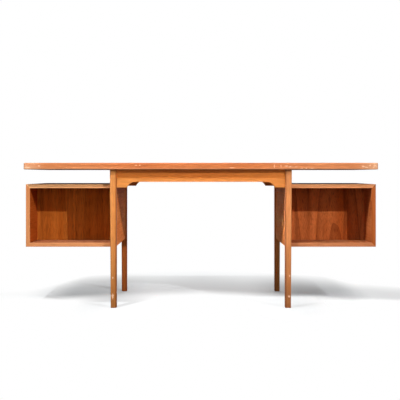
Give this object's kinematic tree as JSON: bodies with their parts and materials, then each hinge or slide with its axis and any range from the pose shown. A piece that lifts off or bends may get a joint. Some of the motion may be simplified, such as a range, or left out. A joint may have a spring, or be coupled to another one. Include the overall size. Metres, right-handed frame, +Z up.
{
  "type": "executive desk",
  "caption": "Teak executive desk: a floating rectangular top on slim tapered legs, with hung pedestals that have open bookshelves towards the visitor and drawers towards the user.",
  "frame": {"origin": "on the floor, under the middle of the desk", "axes": "+X along the desk's length, +Y towards the user's side with the drawers, +Z up; the open shelves face -Y, and left and right are as seen from there"},
  "size_m": [1.762, 0.736, 0.725],
  "materials": {
    "teak": "oiled satin, solid timber",
    "teak_veneer": "oiled satin, veneered board",
    "drawer_timber": "pale hardwood, waxed",
    "beech": "bare beech",
    "plywood": "thin plywood, sanded",
    "steel": "plain steel screws"
  },
  "bodies": {
    "desk": {"drawer_filler_strips": "teak", "front_left_leg": "teak", "front_rail": "teak", "front_right_leg": "teak", "left_cross_rail": "teak", "left_drawer_runners": "beech", "left_pedestal_bottom": "teak_veneer", "left_pedestal_inner_side": "teak_veneer", "left_pedestal_outer_side": "teak_veneer", "left_pedestal_shelf_back": "teak_veneer", "left_pedestal_top": "teak_veneer", "pedestal_dowels": "beech", "rear_left_leg": "teak", "rear_rail": "teak", "rear_right_leg": "teak", "right_cross_rail": "teak", "right_drawer_runners": "beech", "right_pedestal_bottom": "teak_veneer", "right_pedestal_inner_side": "teak_veneer", "right_pedestal_outer_side": "teak_veneer", "right_pedestal_shelf_back": "teak_veneer", "right_pedestal_top": "teak_veneer", "runner_screws": "steel", "top_fixing_blocks": "beech", "top_fixing_screws": "steel", "top_front_lipping": "teak", "top_left_lipping": "teak", "top_panel": "teak_veneer", "top_rear_lipping": "teak", "top_right_lipping": "teak"},
    "left_bottom_drawer": {"left_bottom_drawer_back": "drawer_timber", "left_bottom_drawer_bottom": "plywood", "left_bottom_drawer_front": "teak", "left_bottom_drawer_inner_side": "drawer_timber", "left_bottom_drawer_outer_side": "drawer_timber"},
    "left_middle_drawer": {"left_middle_drawer_back": "drawer_timber", "left_middle_drawer_bottom": "plywood", "left_middle_drawer_front": "teak", "left_middle_drawer_inner_side": "drawer_timber", "left_middle_drawer_outer_side": "drawer_timber"},
    "left_top_drawer": {"left_top_drawer_back": "drawer_timber", "left_top_drawer_bottom": "plywood", "left_top_drawer_front": "teak", "left_top_drawer_inner_side": "drawer_timber", "left_top_drawer_outer_side": "drawer_timber"},
    "right_bottom_drawer": {"right_bottom_drawer_back": "drawer_timber", "right_bottom_drawer_bottom": "plywood", "right_bottom_drawer_front": "teak", "right_bottom_drawer_inner_side": "drawer_timber", "right_bottom_drawer_outer_side": "drawer_timber"},
    "right_middle_drawer": {"right_middle_drawer_back": "drawer_timber", "right_middle_drawer_bottom": "plywood", "right_middle_drawer_front": "teak", "right_middle_drawer_inner_side": "drawer_timber", "right_middle_drawer_outer_side": "drawer_timber"},
    "right_top_drawer": {"right_top_drawer_back": "drawer_timber", "right_top_drawer_bottom": "plywood", "right_top_drawer_front": "teak", "right_top_drawer_inner_side": "drawer_timber", "right_top_drawer_outer_side": "drawer_timber"}
  },
  "joints": [
    {"name": "left_bottom_drawer_slide", "type": "slide", "parent": "desk", "child": "left_bottom_drawer", "axis": [0, 1, 0], "range_m": [0, 0.28]},
    {"name": "left_middle_drawer_slide", "type": "slide", "parent": "desk", "child": "left_middle_drawer", "axis": [0, 1, 0], "range_m": [0, 0.28]},
    {"name": "left_top_drawer_slide", "type": "slide", "parent": "desk", "child": "left_top_drawer", "axis": [0, 1, 0], "range_m": [0, 0.28]},
    {"name": "right_bottom_drawer_slide", "type": "slide", "parent": "desk", "child": "right_bottom_drawer", "axis": [0, 1, 0], "range_m": [0, 0.28]},
    {"name": "right_middle_drawer_slide", "type": "slide", "parent": "desk", "child": "right_middle_drawer", "axis": [0, 1, 0], "range_m": [0, 0.28]},
    {"name": "right_top_drawer_slide", "type": "slide", "parent": "desk", "child": "right_top_drawer", "axis": [0, 1, 0], "range_m": [0, 0.28]}
  ]
}
